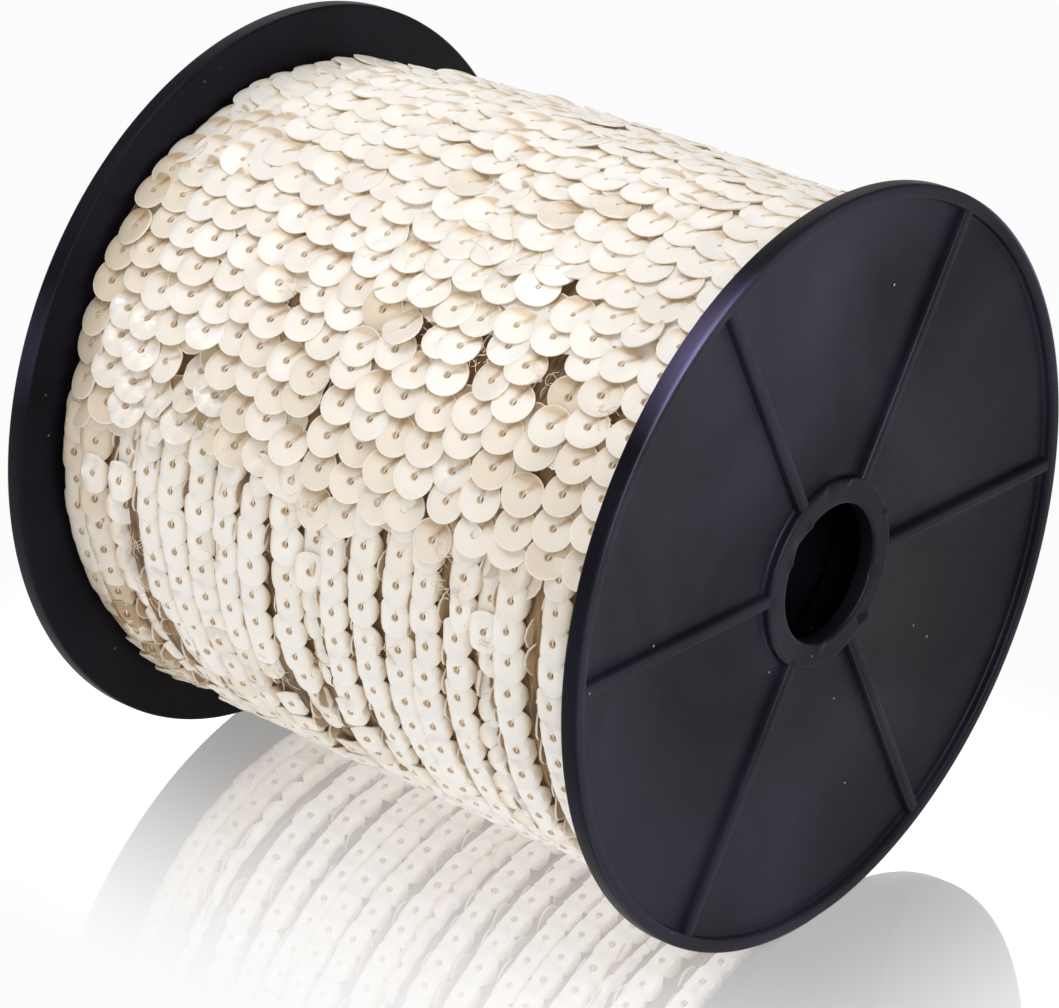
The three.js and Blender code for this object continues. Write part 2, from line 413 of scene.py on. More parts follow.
def flange(name, outward, node, finish):
    outline = rounded([
        (BORE_RADIUS, 0), (COLLAR_INNER, 0), (COLLAR_INNER, -COLLAR_LENGTH), (COLLAR_OUTER, -COLLAR_LENGTH),
        (COLLAR_OUTER, 0), (FLANGE_RADIUS, 0), (FLANGE_RADIUS, FLANGE_THICKNESS),
        (FLANGE_RADIUS - RIM_WIDTH, FLANGE_THICKNESS), (FLANGE_RADIUS - RIM_WIDTH, WEB_THICKNESS),
        (HUB_RADIUS, WEB_THICKNESS), (HUB_RADIUS, FLANGE_THICKNESS),
        (HUB_RADIUS - HUB_EDGE, FLANGE_THICKNESS), (BORE_RADIUS + HUB_EDGE, FLANGE_THICKNESS),
        (BORE_RADIUS, FLANGE_THICKNESS),
    ], EDGE_ROUNDING)
    points, faces = turned(outline, FLANGE_SEGMENTS)
    for index in range(RIB_COUNT):
        rib_points, rib_faces = rib_bar(FIRST_RIB_ANGLE + index * 360 / RIB_COUNT)
        faces = np.concatenate([faces, rib_faces + len(points)])
        points = np.concatenate([points, rib_points])
    points[:, 2] = np.maximum(points[:, 2], -AXIS_HEIGHT)
    add_flaws(points, HUB_FLAWS)
    points[:, 0] += INNER_FACE
    if outward < 0:
        points[:, :2] *= -1
    add_piece(name, points, faces, finish, node)


black_plastic = plastic_finish()
flange("near_flange", 1, "flange_near", black_plastic)
flange("far_flange", -1, "flange_far", black_plastic)

# Barrel
# The tube that the trim is wound on, pressed over the flanges' collars. Only its dark inside shows.
barrel_low, barrel_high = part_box("barrel")
BARREL_RADIUS = (barrel_high[2] - barrel_low[2]) / 2 / MM
BARREL_HALF = barrel_high[0] / MM
BARREL_WALL = 2.0
BARREL_ROUNDING = 0.3
BARREL_SEGMENTS = 96
barrel_outline = rounded([
    (BARREL_RADIUS - BARREL_WALL, -BARREL_HALF), (BARREL_RADIUS, -BARREL_HALF),
    (BARREL_RADIUS, BARREL_HALF), (BARREL_RADIUS - BARREL_WALL, BARREL_HALF),
], BARREL_ROUNDING)
barrel_points, barrel_faces = turned(barrel_outline, BARREL_SEGMENTS)
add_piece("barrel_tube", barrel_points, barrel_faces, black_plastic, "barrel")

# Wound body
# The lower layers of the trim, which show only as warm shade in the gaps of the top layers: one ridged
# body, a ridge for each of the strings that lie side by side.
# the room left between the body and the reel
CLEARANCE = 0.3
WINDING_HALF = INNER_FACE - CLEARANCE
WINDING_BORE = BARREL_RADIUS + CLEARANCE
# middle above and below the front step in mm along the axis, the step's angle, and the depth below it
STRINGS = np.array([
    (-47.2, -47.2, 12, 0.6), (-41.7, -43.3, 15, 1.1), (-36.8, -37.8, 14, 2.6), (-31.8, -32.2, 14, 1.3),
    (-26.3, -26.6, 15, 1.0), (-21.2, -20.9, 16, 1.4), (-16.2, -16.4, 16, 1.2), (-10.6, -11.2, 16, 0.9),
    (-5.5, -4.5, 15, 0.8), (-0.3, 0.2, 12, 2.8), (5.7, 4.1, 12, 1.2), (10.9, 10.4, 16, 0.8),
    (16.7, 16.6, 16, 1.1), (22.1, 21.2, 14, 1.2), (28.3, 27.2, 17, 0.8), (34.5, 31.8, 15, 2.7),
    (40.7, 36.3, 17, 0.9), (47.2, 44.2, 18, 1.0),
])
UPPER, LOWER, STEP, SINK = STRINGS.T
# angle from the front over the top, then the outer radius as a share of the flange's at the far
# flange, in the middle and at the near flange
BODY_SECTIONS = np.array([
    (-180, 0.885, 0.915, 0.910), (-120, 0.885, 0.905, 0.905), (-65, 0.890, 0.898, 0.905),
    (-20, 0.855, 0.900, 0.905), (20, 0.880, 0.915, 0.912), (50, 0.915, 0.922, 0.912),
    (80, 0.885, 0.925, 0.918), (120, 0.880, 0.920, 0.915), (180, 0.885, 0.915, 0.910),
])
# how far the body lies below the top layer's outer form, and how much deeper between two ridges
BODY_DEPTH = 2.2
VALLEY_DEPTH = 0.5
BODY_ROWS = 240


def eased(value, low, high):
    share = np.clip((value - low) / (high - low), 0, 1)
    return share * share * (3 - 2 * share)


def body_radius(angle, along):
    """Outer radius of the wound trim, as in the solid."""
    turn = (np.asarray(angle) + 180) % 360 - 180
    after = np.clip(np.searchsorted(BODY_SECTIONS[:, 0], turn, side="right"), 1, len(BODY_SECTIONS) - 1)
    low, high = BODY_SECTIONS[after - 1], BODY_SECTIONS[after]
    share = eased(turn, low[..., 0], high[..., 0])
    far, middle, near = (low[..., k] + (high[..., k] - low[..., k]) * share for k in (1, 2, 3))
    edge = np.where(np.asarray(along) < 0, far, near)
    return FLANGE_RADIUS * (middle + (edge - middle) * (np.asarray(along) / WINDING_HALF) ** 2)


def on_reel(along, radius, angle):
    """Points on the reel from distances along it, radii and angles in degrees from the front upwards."""
    turn = np.radians(angle)
    parts = np.broadcast_arrays(along, -radius * np.cos(turn), radius * np.sin(turn))
    return np.stack(parts, axis=-1)


def shade_finish():
    """The brown shade between the strings: matt, warm and streaky like packed thread."""
    finish, tree, shader, place = new_finish("thread_shade")
    stretch = tree.nodes.new("ShaderNodeMapping")
    stretch.inputs["Scale"].default_value = (6, 1, 1)
    tree.links.new(place, stretch.inputs["Vector"])
    streaks = noise(tree, stretch.outputs["Vector"], 220, 3)
    colour = ramp(tree, streaks, (0.35, (0.065, 0.035, 0.014)), (0.7, (0.32, 0.2, 0.1)))
    tree.links.new(colour, shader.inputs["Base Color"])
    shader.inputs["Roughness"].default_value = 0.7
    # painted light: a faint warm glow warms the shade
    shader.inputs["Emission Color"].default_value = (0.5, 0.3, 0.13, 1)
    shader.inputs["Emission Strength"].default_value = 0.05
    roughen(tree, shader, streaks, 0.6, 0.0004)
    return finish


# three points a string along the reel: the valley on its left, then two on its ridge
body_angles = np.linspace(0, 360, BODY_ROWS, endpoint=False)
edges = np.concatenate([[-WINDING_HALF], (UPPER[1:] + UPPER[:-1]) / 2, [WINDING_HALF]])
body_along = np.concatenate([
    np.stack([edges[:-1], edges[:-1] * 0.7 + edges[1:] * 0.3, edges[:-1] * 0.3 + edges[1:] * 0.7], 1).ravel(),
    edges[-1:]])
valley = np.where(np.arange(len(body_along)) % 3 == 0, VALLEY_DEPTH, 0.0)
outer = on_reel(body_along, body_radius(body_angles[:, None], body_along) - BODY_DEPTH - valley,
                body_angles[:, None])
inner = on_reel(body_along[::-1], WINDING_BORE, body_angles[:, None])
section_ring = np.concatenate([outer, inner], axis=1)
add_piece("wound_body", section_ring.reshape(-1, 3), ring_faces(BODY_ROWS, section_ring.shape[1]),
          shade_finish(), "trim_winding")

# Sequins
# Flat round sequins punched from ivory pearl film, 6 mm across with a hole in the middle, sewn one
# over the next on a thread. Above the front step they lie like scales with their lower edges lifted.
# Below it the strings are pressed into rounded chains with brown gaps between them.
SEQUIN_RADIUS = 3.0
HOLE_RADIUS = 0.6
# the knot of thread under the hole: how wide the pit is that it leaves, and how far below the film
KNOT_RADIUS = 0.06
KNOT_DEPTH = 0.5
FILM_THICKNESS = 0.26
SEQUINS_ROUND = 68
STEP_ANGLE = 360 / SEQUINS_ROUND
AROUND_SEQUIN = 24
AROUND_HIDDEN_SEQUIN = 14
# the angle at the back where the top layer ends
TOP_LAYER_END = 225
# the radius at which the film lies, where a distance round the reel is turned into an angle
WINDING_RADIUS = 51
# no sequin's middle comes closer to a flange than this, nor one beneath closer to a bare place
FLANGE_MARGIN = 3.2
BARE_MARGIN = 1.2
# how wide the groove is that a stitch presses into the film, and how deep
GROOVE_WIDTH = 0.42
GROOVE_DEPTH = 0.16
DIMPLE_WIDTH = 0.75
# every random value comes from here, so the order of the draws fixes the look
luck = np.random.default_rng(7)
# how far the lower edge and the left edge of a scale are lifted, in degrees, by angle round the reel
SCALE_LIFT = np.array([(0, 12), (30, 11), (50, 9), (70, 6), (88, 3), (105, 1), (240, 2)])
SCALE_ROLL = np.array([(0, 6), (30, 6), (50, 5), (70, 4), (90, 3), (240, 2)])
# how pale the film is by angle round the reel, from 0 for beige to 1 for ivory. This is painted light
# and shade: paler over the top where the light falls, beige where the scales tilt down away from it.
FILM_TONE_AND_SHADE = np.array([
    (-80, 1), (5, 1), (14, 0.5), (22, 0.31), (38, 0.5), (52, 0.74), (75, 0.96), (240, 0.9),
])
# strings that lie on edge in a gap below the step: how far they are turned
ON_EDGE = {1: 10, 2: 62, 9: 55, 15: 62}
# scales that stand out, listed one by one: string, angle, lift, roll, height, tone, crumple
# a low tone paints the shade that some of these scales lie in
ODD_SCALES = np.array([
    (2, 29, 14, 4, 0.5, 0.9, 0.35), (3, 25, 10, -6, 0.3, 0.8, 0.45), (2, 21, 12, 6, 0.3, 0.7, 0.4),
    (4, 33, 20, 2, 0.7, 1.0, 0.25), (4, 20, 16, 12, 0.0, 0.5, 0.3), (5, 24, 6, 20, -0.3, 0.6, 0.5),
    (8, 57, 5, 4, 0.2, 1.0, 0.2), (9, 61, 4, 2, 0.3, 1.0, 0.25), (10, 55, 6, 5, 0.2, 1.0, 0.2),
    (9, 47, -8, 14, -0.5, 0.0, 0.1), (10, 47, 18, -10, 0.2, 0.4, 0.2), (11, 44, 16, 6, 0.3, 0.8, 0.1),
    (15, 45, -10, 8, -0.8, 0.1, 0.1), (12, 47, 17, 4, 0.3, 1.0, 0.0), (16, 60, 14, -12, 0.3, 0.9, 0.2),
    (9, 76, 10, 8, 0.1, 0.3, 0.1), (12, 74, 9, 7, 0.2, 0.2, 0.1), (13, 80, 8, 6, 0.2, 0.2, 0.1),
    (17, 47, 8, 16, 0.2, 0.6, 0.0), (7, 33, 13, 4, 0.1, 0.7, 0.0), (13, 30, 5, 2, -0.4, 0.6, 0.3),
    (1, 34, 8, 4, 0.2, 0.8, 0.3), (1, 28, 9, 10, 0.3, 0.8, 0.4), (1, 22, 10, 4, 0.2, 0.6, 0.3),
    (2, 34, 7, 8, 0.4, 0.9, 0.4), (3, 31, 12, 8, 0.3, 0.8, 0.3), (3, 20, 14, -14, -0.3, 0.5, 0.4),
    (4, 27, 22, -8, -0.2, 0.3, 0.2), (6, 22, 12, -12, 0.2, 0.5, 0.1), (7, 22, 8, 18, -0.3, 0.4, 0.2),
])
# places where the film parts and the brown thread below shows, in painted shade: along, angle, size in mm
BARE_PLACES = np.array([
    (-14.5, 45, 2.2), (-7, 49, 1.2), (10.5, 47, 2.0), (19.5, 47, 2.2), (19.5, 42, 1.6), (30.5, 46, 2.2),
    (42, 45, 1.6), (-3, 34, 1.2), (-3, 28, 1.2), (-2.8, 22, 1.2), (-27, 28, 1.2), (20, 21, 1.8),
    (-21, 19, 1.8), (-11, 17, 1.4), (-2, 13, 2.0), (23.6, 15, 1.6), (25.7, 10, 2.2), (-37.8, 13, 1.4),
    (-33.5, 17, 1.2), (-17, 57, 1.4), (-25, 62, 1.2), (26, 60, 1.4), (37, 33, 1.2), (-9, 24, 1.0),
    (-17.7, -1, 1.4), (8, -5, 1.0), (14, -5, 1.3), (20.4, -3, 1.2), (32, 2, 1.6), (31.5, -8, 1.4),
    (0, -15, 2.0), (-36, -3, 1.6), (-35.5, -10, 1.8), (-35, -18, 1.8), (-10, -20, 1.8), (-10, -26, 1.6),
    (-22, -28, 1.6), (-19, -11, 1.3), (5.5, -23, 1.2), (30.5, -22, 1.4), (12, -30, 1.2), (-4, -34, 1.4),
])


def film_finish():
    """Pearl film: ivory, softly shiny, with painted shade where a stitch or a neighbour lies, a painted
    highlight at its cut edge and a faint painted glow.
    """
    finish, tree, shader, place = new_finish("pearl_film")

    def attribute(name, output="Fac"):
        node = tree.nodes.new("ShaderNodeAttribute")
        node.attribute_name = name
        return node.outputs[output]

    def tinted(base, tint, amount=1.0):
        return mixed(tree, base, tint, amount, "MULTIPLY")

    disc = tree.nodes.new("ShaderNodeSeparateXYZ")
    tree.links.new(attribute("disc", "Vector"), disc.inputs["Vector"])
    down, across, from_middle = disc.outputs
    tucked = attribute("tucked")
    tone = ramp(tree, attribute("tone"), (0, (0.38, 0.25, 0.12)), (0.25, (0.745, 0.645, 0.515)),
                (0.6, (0.885, 0.83, 0.755)), (1, (0.955, 0.915, 0.86)))
    # painted shade in and round the hole, partly the brown of the thread in it
    pit = ramp(tree, from_middle, (0.02, (0.4, 0.27, 0.15)), (0.17, (0.66, 0.52, 0.36)),
               (0.22, (1, 1, 1)), (1, (1, 1, 1)))
    # painted shade along the groove that the stitch presses into the film
    groove = ramp(tree, attribute("groove"), (0.1, (1, 1, 1)), (1, (0.6, 0.47, 0.32)))
    # painted shadow that the next sequin casts on a loose scale, and painted brown shade on the sides of a
    # pressed chain
    next_shade = ramp(tree, rescaled(tree, down, (-0.62, -0.15)),
                      (0, (0.7, 0.57, 0.41)), (0.4, (0.91, 0.86, 0.78)), (1, (1, 1, 1)))
    chain_side_shade = ramp(tree, rescaled(tree, computed(tree, "ABSOLUTE", across), (0.6, 0.98)),
                       (0, (1, 1, 1)), (0.5, (0.94, 0.88, 0.79)), (1, (0.66, 0.5, 0.32)))
    colour = tinted(tone, pit, attribute("pit"))
    colour = tinted(colour, groove)
    colour = tinted(colour, next_shade, tucked)
    colour = tinted(colour, chain_side_shade, computed(tree, "SUBTRACT", 1.0, tucked))
    # painted highlight: the cut edge of a loose scale is made paler where it catches the light
    edge_highlight = ramp(tree, from_middle, (0.92, (0, 0, 0)), (0.955, (0.6, 0.6, 0.6)))
    colour = mixed(tree, colour, (0.93, 0.88, 0.8, 1), computed(tree, "MULTIPLY", edge_highlight, tucked))
    tree.links.new(colour, shader.inputs["Base Color"])
    shine = rescaled(tree, attribute("crumple"), (0, 0.3), (0.36, 0.12))
    tree.links.new(shine, shader.inputs["Roughness"])
    shader.inputs["Coat Weight"].default_value = 0.2
    shader.inputs["Coat Roughness"].default_value = 0.25
    shader.inputs["Subsurface Weight"].default_value = 0.2
    shader.inputs["Subsurface Radius"].default_value = (1.0, 0.6, 0.35)
    shader.inputs["Subsurface Scale"].default_value = 0.0012
    # painted light: a faint warm glow lifts the shade in the crevices, for light that passes through the film
    shader.inputs["Emission Color"].default_value = (1, 0.78, 0.5, 1)
    shader.inputs["Emission Strength"].default_value = 0.03
    roughen(tree, shader, noise(tree, place, 260, 3), 0.25, 0.0005)
    return finish


def sequin_pattern(around, rings):
    """Points of one flat sequin as (down, across, depth), ring after ring from the hole's top edge."""
    angle = np.linspace(0, 2 * math.pi, around, endpoint=False)
    parts = []
    for radius, depth in rings:
        parts.append(np.stack([radius * np.cos(angle), radius * np.sin(angle), np.full(around, -depth)], 1))
    return np.concatenate(parts), ring_faces(len(rings), around)


def pressed_in(down, across, stitch):
    """How far the stitch presses the film in between the hole and the tucked edge, 0 to 1."""
    slant = across - down * np.tan(np.radians(stitch))
    return np.exp(-(slant / GROOVE_WIDTH) ** 2) * eased(-down, 0.15, 0.7)


# A spot says where one sequin lies and how it is bent. Its place is along the reel, its angle round it,
# its radius, and its height above that. lift raises its lower edge and roll its left one, in degrees.
# crown bends it across, curl down the string, and twist at its corners. crumple creases it, and dimple
# is the depth of the dent round its hole. hole and size scale its hole and all of it. stitch is the slant
# of its thread in degrees. tone runs from 0 for brown to 1 for ivory, and holds painted light and shade
# as well as the film's own colour. pit is how dark the painted shade in its hole is, and tucked how
# loosely it lies: 1 for a scale under the painted shadow of the next one, 0 for one pressed into a chain
# with painted brown shade at its sides.
def lay_sequins(pattern, spots):
    """Bends the pattern onto the reel at each spot. spots is a dict of arrays with one value a sequin."""
    down, across, depth = np.moveaxis(pattern, -1, 0)
    spot = {key: value[:, None] for key, value in spots.items()}
    hole = np.where(np.hypot(down, across) < HOLE_RADIUS * 1.01, spot["hole"], 1)
    a = down * spot["size"] * hole
    b = across * spot["size"] * hole ** 2
    lift, roll = np.radians(spot["lift"]), np.radians(spot["roll"])
    height = spot["height"] - spot["crown"] * b ** 2 * (0.2 + 0.12 * b ** 2)
    height += spot["twist"] * a * b - spot["curl"] * a ** 2 / 2
    fold = 0.7 * a + 1.1 * b + 90 * spot["twist"]
    creases = 1.3 * np.abs(np.sin(fold)) + 0.6 * np.sin(1.3 * a - 0.8 * b + fold / 3) - 0.6
    height += spot["crumple"] * creases
    height -= spot["dimple"] * np.exp(-(np.hypot(a, b) / DIMPLE_WIDTH) ** 2)
    height -= GROOVE_DEPTH * pressed_in(a, b, spot["stitch"])
    thick = height + depth
    raised = thick * np.cos(lift) * np.cos(roll) + a * np.sin(lift) - b * np.sin(roll)
    radius = spot["radius"]
    down_reel = a * np.cos(lift) - thick * np.sin(lift)
    side = b * np.cos(roll) * (1 - 0.2 * spot["crown"] * b ** 2) + thick * np.sin(roll)
    return on_reel(spot["along"] + side, radius + raised, spot["angle"] - np.degrees(down_reel / radius))


def note(piece, name, kind, values):
    """Notes a value for each point of the mesh, which the material reads."""
    attribute = piece.data.attributes.new(name, kind, "POINT")
    field = "vector" if kind == "FLOAT_VECTOR" else "value"
    attribute.data.foreach_set(field, np.asarray(values, np.float32).ravel())


def sequin_piece(name, pattern, faces, spots, finish):
    points = lay_sequins(pattern, spots)
    count, size = points.shape[:2]
    all_faces = (faces[None] + (np.arange(count) * size)[:, None, None]).reshape(-1, 4)
    piece = add_piece(name, points.reshape(-1, 3), all_faces, finish, None)
    down, across, _ = pattern.T
    for key in ("tone", "pit", "crumple", "tucked"):
        note(piece, key, "FLOAT", np.repeat(spots[key], size))
    # the groove attribute holds the painted shade along each stitch's groove
    pressed = pressed_in(down, across, spots["stitch"][:, None])
    note(piece, "groove", "FLOAT", pressed * spots["tucked"][:, None])
    flat = np.stack([down, across, np.hypot(down, across)], axis=1) / SEQUIN_RADIUS
    note(piece, "disc", "FLOAT_VECTOR", np.tile(flat, (count, 1)))


def spots_of(rows):
    """A dict of arrays from a list of dicts."""
    return {key: np.array([row[key] for row in rows], float) for key in rows[0]}


def paled(tone):
    """A tone from 0 to 1 brought into the film's own range, above the browns of shaded sequins."""
    return 0.25 + 0.75 * tone


def film_tone(angle, along):
    # painted shade: the scales beside the far flange are made beige, for the shade they lie in
    far_end_shade = 0.75 * eased(-along, 38, 43) * (1 - eased(angle, 45, 80))
    tone = np.interp(angle, *FILM_TONE_AND_SHADE.T) - far_end_shade + luck.normal(0, 0.15)
    return paled(float(np.clip(tone, 0, 1)))


def change_odd_one(row, string):
    """Gives a scale the values of the row of ODD_SCALES that names its place, if one does."""
    for odd_string, angle, lift, roll, height, tone, crumple in ODD_SCALES:
        if odd_string == string and abs(angle - row["angle"]) < STEP_ANGLE / 2:
            row.update(lift=lift, roll=roll, height=height, tone=paled(tone), crumple=crumple)
    return row


def bare_shift(along, angle, reach):
    """How far the film moves aside near the bare places, in mm, and whether any of it is left."""
    beside = along - BARE_PLACES[:, 0]
    distance = np.hypot(beside, np.radians(angle - BARE_PLACES[:, 1]) * WINDING_RADIUS)
    nearness = np.exp(-(distance / reach) ** 2) * BARE_PLACES[:, 2]
    return float((np.sign(beside) * nearness).sum()), bool((distance > BARE_PLACES[:, 2] + BARE_MARGIN).all())


def wave(angle, turns, start, string):
    """A slow sway round the reel, from -1 to 1, with its own start on each string."""
    return math.sin(math.radians(angle * turns + string * start))


def upper_spots(string):
    """The top layer of one string, from its end at the front step up over the top to the back."""
    rows = []
    # near the front the scales slip round a little, so that each string ends in a whole sequin
    last = STEP[string] + np.degrees(SEQUIN_RADIUS / WINDING_RADIUS)
    slip = (last - 90) % STEP_ANGLE
    slip -= STEP_ANGLE if slip > STEP_ANGLE / 2 else 0
    for index in range(-20, 30):
        angle = 90 + index * STEP_ANGLE
        angle += slip * (1 - eased(angle, 40, 75))
        if angle < last - STEP_ANGLE / 2 or angle > TOP_LAYER_END + 5:
            continue
        along = UPPER[string] + 0.3 * wave(angle, 2.3, 71, string) + luck.normal(0, 0.32)
        aside, _ = bare_shift(along, angle, 3.5)
        room_beside = WINDING_HALF - FLANGE_MARGIN
        along = float(np.clip(along + 0.8 * aside, -room_beside, room_beside))
        wild = luck.random() < 0.3 and angle < 100
        far_drop = 1.3 * eased(-along, 30, 47) * eased(angle, 60, 90)
        at_far_end = eased(-along, 41, 46) * (1 - eased(angle, 60, 85))
        open_hole = 1 - eased(angle, 45, 72)
        lift = np.interp(angle, *SCALE_LIFT.T) - 6 * at_far_end
        roll = np.interp(angle, *SCALE_ROLL.T) - 16 * at_far_end - 7 * aside
        row = dict(
            along=along, angle=angle + luck.normal(0, 0.5),
            radius=float(body_radius(angle, along)) - 0.5 - far_drop,
            height=luck.normal(0, 0.06),
            lift=lift + luck.normal(0, 5 if wild else 2),
            roll=roll + luck.normal(0, 8 if wild else 3),
            crown=luck.normal(0.008, 0.008), curl=luck.normal(-0.01, 0.015), twist=luck.normal(0, 0.012),
            crumple=0, dimple=0.06 + 0.1 * open_hole,
            hole=0.6 + 0.36 * open_hole, size=1.07 + 0.05 * eased(angle, 50, 70),
            stitch=luck.normal(-28, 14),
            tone=film_tone(angle, along), pit=0.31 + 0.5 * open_hole, tucked=0.9)
        rows.append(change_odd_one(row, string))
    return rows


def lower_spots(string):
    """The layer below the front step, from under the end of the top layer round below to the back."""
    rows = []
    angle = STEP[string] + luck.uniform(0, 2.5)
    while angle > TOP_LAYER_END - 360 - 3:
        turned_up = ON_EDGE.get(string, 0) * eased(-angle, -6, 4)
        along = LOWER[string] + 0.35 * wave(angle, 3.1, 53, string) + luck.normal(0, 0.1)
        depth = SINK[string] * (0.15 if turned_up else 0.2 + 0.4 * eased(angle, -25, 5))
        roll = turned_up * (0.7 + 0.4 * wave(angle, 4, 40, string))
        roll += 6 + 5 * wave(angle, 2.2, 97, string) + luck.normal(0, 1.5)
        aside, _ = bare_shift(along, angle, 2.6)
        along += 0.6 * aside
        roll -= 6 * aside
        # the strings lie in disorder at the lower left, and their tone is painted darker there for the shade
        # among them
        mess = eased(-angle, 12, 26) * eased(20 - along, 0, 20) * (1 - 0.8 * eased(-angle, 35, 52))
        roll += mess * (14 * wave(angle, 4.3, 131, string) + luck.normal(0, 4))
        depth += mess * (0.7 + 0.7 * wave(angle, 5.2, 77, string))
        if luck.random() > 0.1 * mess:
            rows.append(dict(
                along=along, angle=angle + luck.normal(0, 0.15 + 0.5 * mess),
                radius=float(body_radius(angle, along)) - depth - 2.6 * math.sin(math.radians(turned_up)),
                height=luck.normal(0, 0.04),
                lift=luck.normal(1.3, 0.4 + mess) - 1.5 * eased(-angle, 35, 52), roll=roll,
                crown=luck.normal(0.08 + 0.06 * eased(-angle, 12, 30), 0.015),
                curl=luck.normal(0.0, 0.01), twist=luck.normal(0.01, 0.01),
                crumple=0.15 if turned_up else 0, dimple=0.22,
                hole=luck.normal(0.92, 0.05), size=luck.normal(1.05, 0.02),
                stitch=luck.normal(-14, 10),
                tone=film_tone(angle, along) - luck.uniform(0, 0.6) * mess, pit=1, tucked=0.15))
        angle -= STEP_ANGLE * luck.normal(1.01, 0.02)
    return rows


def beneath_spots(string):
    """The layer that shows between the scales, set half a string to the side, with its tone painted brown to
    tan for the shade it lies in, paler over the top.
    """
    rows = []
    along = min(UPPER[string] + 2.7, WINDING_HALF - FLANGE_MARGIN)
    for index in range(SEQUINS_ROUND):
        angle = TOP_LAYER_END - (index + 0.37 * string % 1) * STEP_ANGLE + luck.normal(0, 0.4)
        if angle < STEP[string]:
            break
        _, covered = bare_shift(along, angle, 1)
        if covered:
            rows.append(dict(
                along=along, angle=angle, height=luck.normal(0, 0.1),
                radius=float(body_radius(angle, along)) - 1.5 + 0.4 * eased(angle, 50, 70),
                lift=luck.normal(4, 1.5), roll=luck.normal(3, 3),
                crown=0.01, curl=0, twist=0, crumple=0, dimple=0.15,
                hole=0.3, size=1.05 + 0.2 * eased(angle, 45, 65), stitch=0,
                tone=luck.uniform(0.05, 0.4) + 0.7 * eased(angle, 45, 65), pit=0, tucked=1))
    return rows


def gap_spots(string):
    """Sequins of deeper strings that stand on edge in the gap to the right of a chain, painted dark brown for
    the shade of the gap.
    """
    rows = []
    gap = (LOWER[string] + LOWER[string + 1]) / 2
    angle = STEP[string] - luck.uniform(0, 4)
    while angle > TOP_LAYER_END - 360:
        along = gap + luck.normal(0, 0.35)
        _, covered = bare_shift(along, angle, 1)
        if covered:
            rows.append(dict(
                along=along, angle=angle, height=0,
                radius=float(body_radius(angle, along)) - 3.4 - luck.uniform(0, 0.8),
                lift=luck.normal(4, 8), roll=luck.choice([-1, 1]) * luck.uniform(68, 88),
                crown=0.02, curl=0, twist=0.02, crumple=0.1, dimple=0,
                hole=1, size=1, stitch=0,
                tone=luck.uniform(0, 0.15), pit=1, tucked=1))
        angle -= STEP_ANGLE * luck.uniform(0.8, 1.5)
    return rows


# rings of points by radius and depth, the last one down at the knot, so that the hole is a closed pit
fine_rings = [(HOLE_RADIUS, 0), (1.0, 0), (2.0, 0), (2.8, 0), (SEQUIN_RADIUS, 0.04),
              (SEQUIN_RADIUS, FILM_THICKNESS), (KNOT_RADIUS, KNOT_DEPTH)]
fine_pattern, fine_faces = sequin_pattern(AROUND_SEQUIN, fine_rings)
plain_rings = [(HOLE_RADIUS, 0), (SEQUIN_RADIUS, 0),
               (SEQUIN_RADIUS, FILM_THICKNESS), (HOLE_RADIUS, FILM_THICKNESS)]
plain_pattern, plain_faces = sequin_pattern(AROUND_HIDDEN_SEQUIN, plain_rings)
pearl_film = film_finish()
strings = range(len(STRINGS))

upper_rows = [row for string in strings for row in upper_spots(string)]
lower_rows = [row for string in strings for row in lower_spots(string)]
beneath_rows = [row for string in strings for row in beneath_spots(string)]
beneath_rows += [row for string in strings[:-1] for row in gap_spots(string)]
half = len(upper_rows) // 2
sequin_piece("upper_sequins_far", fine_pattern, fine_faces, spots_of(upper_rows[:half]), pearl_film)
sequin_piece("upper_sequins_near", fine_pattern, fine_faces, spots_of(upper_rows[half:]), pearl_film)
sequin_piece("lower_sequins", fine_pattern, fine_faces, spots_of(lower_rows), pearl_film)
sequin_piece("sequins_beneath", plain_pattern, plain_faces, spots_of(beneath_rows), pearl_film)

# Stitches
# The thread that holds the string together: clear brown polyester that comes up through each hole and
# goes back over the film towards the edge that is tucked under the next sequin.
THREAD_RADIUS = 0.15
THREAD_SIDES = 5
# edges of a thread's tube are smooth up to this angle
THREAD_SHARP = 80
# a stitch's course from the hole to the tucked edge: distance down the string, height above the film
STITCH_COURSE = np.array([(0.3, -0.35), (0.1, -0.15), (-0.25, -0.03), (-0.75, -0.04), (-1.2, -0.18)])


def thread_finish():
    """Clear brown thread: a warm, mottled filament with a soft shine."""
    finish, tree, shader, place = new_finish("clear_thread")
    colour = ramp(tree, noise(tree, place, 900), (0.35, (0.66, 0.52, 0.35)), (0.65, (0.92, 0.84, 0.7)))
    tree.links.new(colour, shader.inputs["Base Color"])
    shader.inputs["Roughness"].default_value = 0.35
    return finish


def tubes(paths, radius, sides):
    """Tubes along paths, an array of (path, point, xyz), as points and quad faces."""
    ahead = np.gradient(paths, axis=1)
    ahead /= np.linalg.norm(ahead, axis=2, keepdims=True)
    outward = paths * (0, 1, 1)
    outward = outward - (outward * ahead).sum(2, keepdims=True) * ahead
    outward /= np.linalg.norm(outward, axis=2, keepdims=True)
    beside = np.cross(ahead, outward)
    turn = np.linspace(0, 2 * math.pi, sides, endpoint=False)
    ring = (outward[:, :, None] * np.cos(turn)[:, None] + beside[:, :, None] * np.sin(turn)[:, None]) * radius
    points = paths[:, :, None] + ring
    steps = paths.shape[1]
    faces = ring_faces(steps, sides, closed=False)
    all_faces = (faces[None] + (np.arange(len(paths)) * steps * sides)[:, None, None]).reshape(-1, 4)
    return points.reshape(-1, 3), all_faces


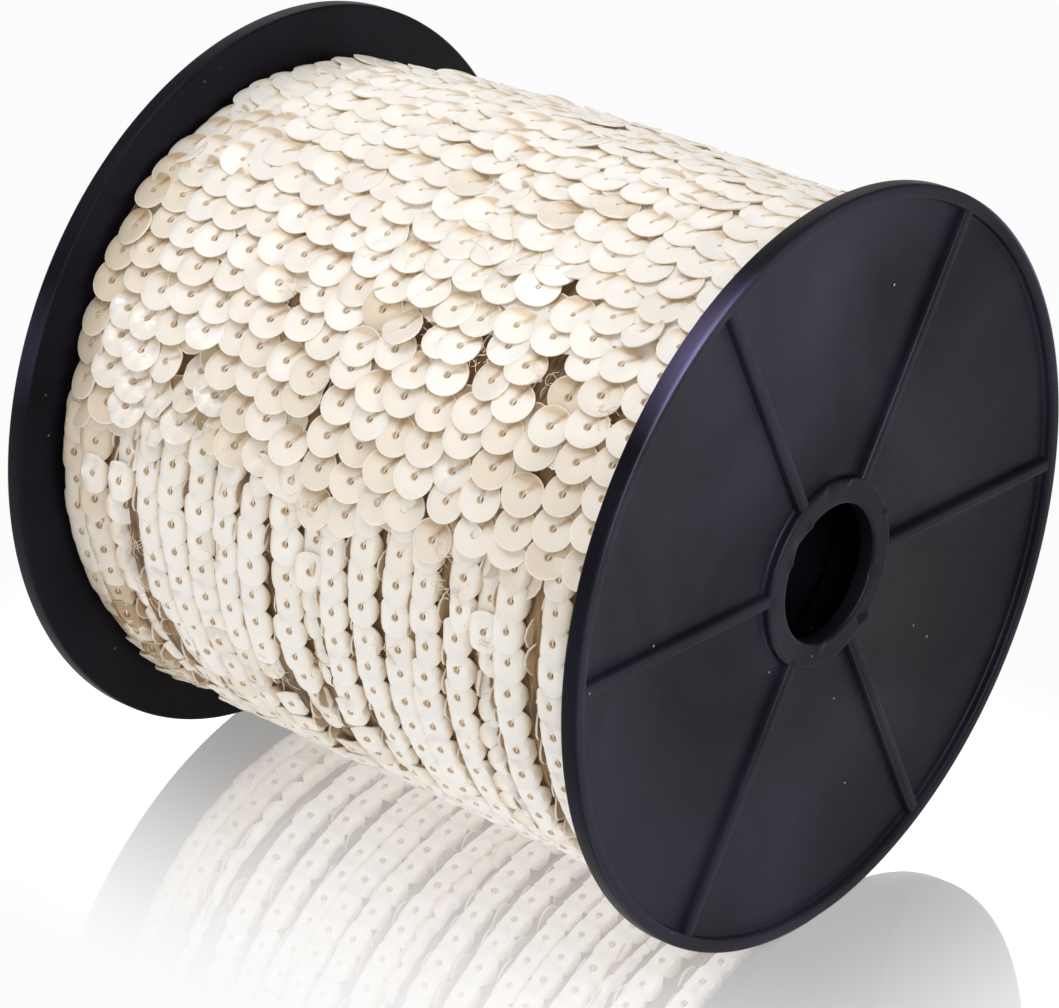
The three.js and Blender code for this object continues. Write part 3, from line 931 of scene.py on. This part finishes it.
def stitch_paths(spots):
    """Each sequin's stitch, laid on it as it lies."""
    down, height = STITCH_COURSE.T
    slant = np.minimum(down, 0) * np.tan(np.radians(spots["stitch"]))[:, None]
    return lay_sequins(np.stack(np.broadcast_arrays(down, slant, height), axis=-1), spots)


stitched = spots_of(upper_rows + lower_rows)
stitch_points, stitch_faces = tubes(stitch_paths(stitched), THREAD_RADIUS, THREAD_SIDES)
clear_thread = thread_finish()
add_piece("stitches", stitch_points, stitch_faces, clear_thread, None, THREAD_SHARP)

# Loose threads
# Fine ends of sewing thread: tufts in the gaps between strings and where the film parts, and long curls
# that lie across the top layer on the right.
LOOSE_RADIUS = 0.045
LOOSE_SIDES = 4
HAIR_POINTS = 12
# threads longer than this lie on the film, shorter ones stay in their gap
LONG_HAIR = 5
RISE_ON_FILM = 0.35
RISE_IN_GAP = -0.5
# place along the reel, angle, spread in mm, number of threads, length in mm
TUFTS = np.array([
    (-14.5, 45, 1.6, 14, 2.6), (10.5, 47, 1.8, 16, 3), (19.5, 46, 1.6, 16, 3.4), (30.5, 46, 1.6, 14, 3),
    (42, 45, 1.4, 10, 2.6), (-2.5, 32, 1.0, 12, 3), (-2, 14, 1.8, 18, 3), (23.6, 16, 1.6, 16, 2.6),
    (-21, 19, 1.6, 14, 2.6), (-19, 0, 1.5, 12, 2.6), (0, -14, 1.5, 14, 3), (-36, -6, 1.6, 16, 3.4),
    (-35, -16, 1.6, 14, 3.4), (-28, 20, 1.8, 14, 3), (17, 60, 6.0, 9, 13), (2, 60, 4.5, 7, 12),
    (32, 3, 1.5, 14, 3), (26, 10, 1.4, 14, 3), (-10, -21, 1.4, 12, 3), (14, -5, 1.0, 10, 2.6),
])


def hair_paths(along, angle, spread, count, length):
    """Curled threads that start near one place."""
    rise = RISE_ON_FILM if length > LONG_HAIR else RISE_IN_GAP
    paths = []
    for _ in range(int(count)):
        heading = luck.uniform(0, 2 * math.pi)
        curl = luck.normal(0, 0.9, HAIR_POINTS).cumsum() * 0.28
        stride = length * luck.uniform(0.5, 1.1) / HAIR_POINTS
        across = along + luck.normal(0, spread / 2) + stride * np.cos(heading + curl).cumsum()
        down = luck.normal(0, spread / 2) + stride * np.sin(heading + curl).cumsum()
        height = rise + 0.25 * np.sin(np.linspace(0, math.pi, HAIR_POINTS)) + luck.normal(0, 0.1)
        turn = angle - np.degrees(down / WINDING_RADIUS)
        paths.append(on_reel(across, body_radius(turn, across) + height, turn))
    return paths


hairs = np.array([path for tuft in TUFTS for path in hair_paths(*tuft)])
hair_points, hair_faces = tubes(hairs, LOOSE_RADIUS, LOOSE_SIDES)
add_piece("loose_threads", hair_points, hair_faces, clear_thread, None, THREAD_SHARP)
